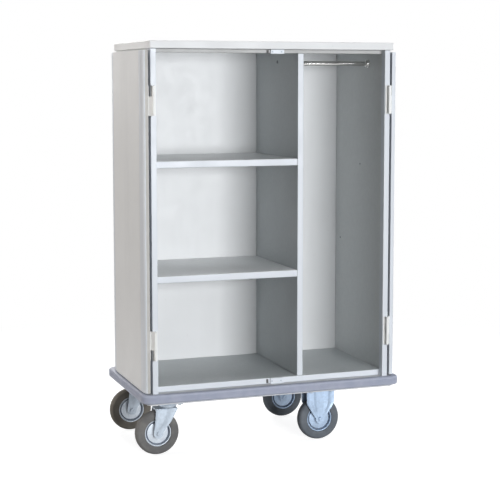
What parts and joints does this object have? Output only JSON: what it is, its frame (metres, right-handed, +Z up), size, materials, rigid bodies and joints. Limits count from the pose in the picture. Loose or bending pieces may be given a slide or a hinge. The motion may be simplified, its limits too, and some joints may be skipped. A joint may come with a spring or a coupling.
{
  "type": "housekeeping cart",
  "caption": "Tall panel cabinet cart with folding-back doors, shelves, a hanging bay, an all-round bumper, and swivel and fixed castors.",
  "frame": {"origin": "on the floor, under the middle of the cabinet", "axes": "+X across the front towards the fixed castors, -Y out of the front, +Z up"},
  "size_m": [1.257, 0.672, 1.84],
  "materials": {
    "panel": "light grey, fine satin coating",
    "edge": "light grey, smooth satin coating",
    "core": "grey, matt",
    "bumper": "purple-grey, matt, ribbed",
    "zinc": "bright zinc plate",
    "tyre": "grey rubber, matt",
    "chrome": "polished",
    "hinge": "light grey, satin coating",
    "lock": "dark grey, matt"
  },
  "bodies": {
    "cabinet": {"platform": "core", "bumper": "bumper", "post_left": "edge", "post_right": "edge", "side_panel_left": "panel", "side_panel_right": "panel", "back_panel": "panel", "top_panel": "panel", "header": "panel", "floor_tray": "edge", "divider": "edge", "shelf_upper": "edge", "shelf_lower": "edge", "hanging_rail": "chrome", "rail_flange_left": "chrome", "rail_flange_right": "chrome", "keeper_top": "edge", "keeper_bottom": "edge", "hinge_left_upper_post_leaf": "hinge", "hinge_left_upper_pin": "zinc", "hinge_left_lower_post_leaf": "hinge", "hinge_left_lower_pin": "zinc", "hinge_right_upper_post_leaf": "hinge", "hinge_right_upper_pin": "zinc", "hinge_right_lower_post_leaf": "hinge", "hinge_right_lower_pin": "zinc", "castor_front_left_plate": "zinc", "castor_rear_left_plate": "zinc", "castor_front_right_fork": "zinc", "castor_front_right_axle": "zinc", "castor_rear_right_fork": "zinc", "castor_rear_right_axle": "zinc"},
    "door_left": {"door_left_hinge_stile": "edge", "door_left_panel": "panel", "door_left_free_stile": "edge", "hinge_left_upper_door_leaf": "hinge", "hinge_left_lower_door_leaf": "hinge"},
    "door_right": {"door_right_hinge_stile": "edge", "door_right_panel": "panel", "door_right_free_stile": "edge", "closing_strip": "edge", "lock_case": "lock", "hinge_right_upper_door_leaf": "hinge", "hinge_right_lower_door_leaf": "hinge"},
    "lock_knob": {"lock_knob": "lock"},
    "lock_rod_upper": {"lock_rod_upper": "zinc"},
    "lock_rod_lower": {"lock_rod_lower": "zinc"},
    "swivel_front_left": {"castor_front_left_fork": "zinc", "castor_front_left_axle": "zinc"},
    "swivel_rear_left": {"castor_rear_left_fork": "zinc", "castor_rear_left_axle": "zinc"},
    "wheel_front_left": {"castor_front_left_rim": "zinc", "castor_front_left_tyre": "tyre"},
    "wheel_rear_left": {"castor_rear_left_rim": "zinc", "castor_rear_left_tyre": "tyre"},
    "wheel_front_right": {"castor_front_right_rim": "zinc", "castor_front_right_tyre": "tyre"},
    "wheel_rear_right": {"castor_rear_right_rim": "zinc", "castor_rear_right_tyre": "tyre"}
  },
  "joints": [
    {"name": "door_left_swing", "type": "hinge", "parent": "cabinet", "child": "door_left", "pos_m": [-0.5605, -0.3175, 1], "axis": [0, 0, 1], "range_deg": [0, 270]},
    {"name": "door_right_swing", "type": "hinge", "parent": "cabinet", "child": "door_right", "pos_m": [0.5605, -0.3175, 1], "axis": [0, 0, -1], "range_deg": [0, 270]},
    {"name": "lock_turn", "type": "hinge", "parent": "door_right", "child": "lock_knob", "pos_m": [0.58, 0.1965, 1.045], "axis": [1, 0, 0], "range_deg": [0, 90]},
    {"name": "lock_rod_upper_slide", "type": "slide", "parent": "door_right", "child": "lock_rod_upper", "axis": [0, 0, 1], "range_m": [0, 0.014]},
    {"name": "lock_rod_lower_slide", "type": "slide", "parent": "door_right", "child": "lock_rod_lower", "axis": [0, 0, -1], "range_m": [0, 0.014]},
    {"name": "castor_front_left_swivel", "type": "hinge", "parent": "cabinet", "child": "swivel_front_left", "pos_m": [-0.485, -0.232, 0.228], "axis": [0, 0, 1], "continuous": true},
    {"name": "castor_rear_left_swivel", "type": "hinge", "parent": "cabinet", "child": "swivel_rear_left", "pos_m": [-0.485, 0.232, 0.228], "axis": [0, 0, 1], "continuous": true},
    {"name": "castor_front_left_roll", "type": "hinge", "parent": "swivel_front_left", "child": "wheel_front_left", "pos_m": [-0.535, -0.232, 0.1], "axis": [0, 1, 0], "continuous": true},
    {"name": "castor_rear_left_roll", "type": "hinge", "parent": "swivel_rear_left", "child": "wheel_rear_left", "pos_m": [-0.535, 0.232, 0.1], "axis": [0, 1, 0], "continuous": true},
    {"name": "castor_front_right_roll", "type": "hinge", "parent": "cabinet", "child": "wheel_front_right", "pos_m": [0.246, -0.232, 0.1], "axis": [0, 1, 0], "continuous": true},
    {"name": "castor_rear_right_roll", "type": "hinge", "parent": "cabinet", "child": "wheel_rear_right", "pos_m": [0.246, 0.232, 0.1], "axis": [0, 1, 0], "continuous": true}
  ],
  "couplings": [
    {"joint": "lock_rod_lower_slide", "follows": "lock_rod_upper_slide", "ratio": 1},
    {"joint": "lock_turn", "follows": "lock_rod_upper_slide", "rad_per_m": 112.19}
  ]
}
